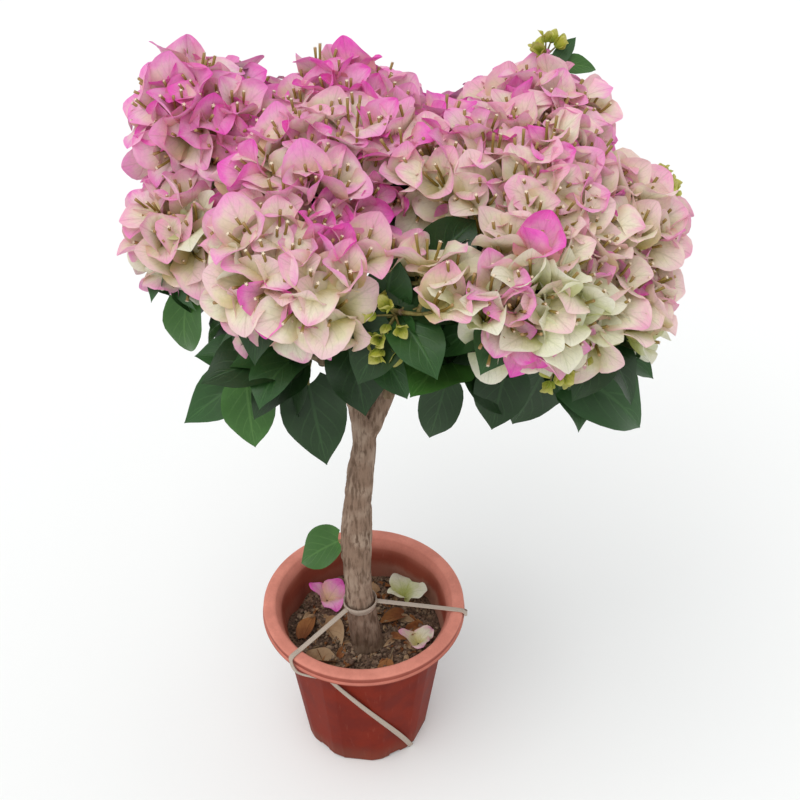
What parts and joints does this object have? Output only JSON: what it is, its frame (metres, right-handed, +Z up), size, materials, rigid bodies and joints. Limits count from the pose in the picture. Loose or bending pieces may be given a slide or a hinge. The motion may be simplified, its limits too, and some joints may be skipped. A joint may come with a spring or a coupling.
{
  "type": "bougainvillea bush in a pot",
  "caption": "Potted bougainvillea grown as a small standard tree: a bare trunk, a rounded crown of pink and cream papery bracts over hanging leaves, and a ten-sided plastic pot.",
  "frame": {"origin": "middle of the pot's underside, on the flat centre pad that stands on the ground", "axes": "+Z up along the pot's axis, -Y is the front, +X to the right as seen from the front"},
  "size_m": [0.5292, 0.4704, 0.8327],
  "materials": {
    "pot": "satin",
    "soil": "matte",
    "bark": "matte",
    "blossom": "matte",
    "leaf": "satin",
    "band": "satin",
    "faded_blossom": "matte",
    "dry_leaf": "matte"
  },
  "bodies": {
    "root": {"pot": "pot", "soil": "soil", "trunk": "bark", "bough_back": "bark", "bough_back_left": "bark", "bough_back_right": "bark", "bough_crown_top": "bark", "bough_front_left": "bark", "bough_front_middle": "bark", "bough_front_right": "bark", "bough_left": "bark", "bough_middle_left": "bark", "bough_middle_right": "bark", "bough_right": "bark", "bough_right_low": "bark", "bough_skirt_back": "bark", "bough_skirt_front_left": "bark", "bough_skirt_front_right": "bark", "bough_skirt_left": "bark", "bough_skirt_right": "bark", "bough_upper_back": "bark", "bough_upper_left": "bark", "bough_upper_right": "bark", "crown_top": "blossom", "upper_left": "blossom", "upper_back": "blossom", "upper_right": "blossom", "left": "blossom", "front_left": "blossom", "front_middle": "blossom", "front_right": "blossom", "right": "blossom", "right_low": "blossom", "back_right": "blossom", "back": "blossom", "back_left": "blossom", "middle_left": "blossom", "middle_right": "blossom", "skirt_back": "leaf", "skirt_front_left": "leaf", "skirt_front_right": "leaf", "skirt_left": "leaf", "skirt_right": "leaf", "low_leaf": "leaf", "band_ring": "band", "band_front": "band", "band_back": "band", "dry_leaf_1": "dry_leaf", "dry_leaf_2": "dry_leaf", "dry_leaf_3": "dry_leaf", "dry_leaf_4": "dry_leaf", "dry_leaf_5": "dry_leaf", "dry_leaf_6": "dry_leaf", "fallen_blossom_faded": "faded_blossom", "fallen_blossom_pale": "faded_blossom", "fallen_blossom_pink": "blossom"}
  },
  "joints": []
}
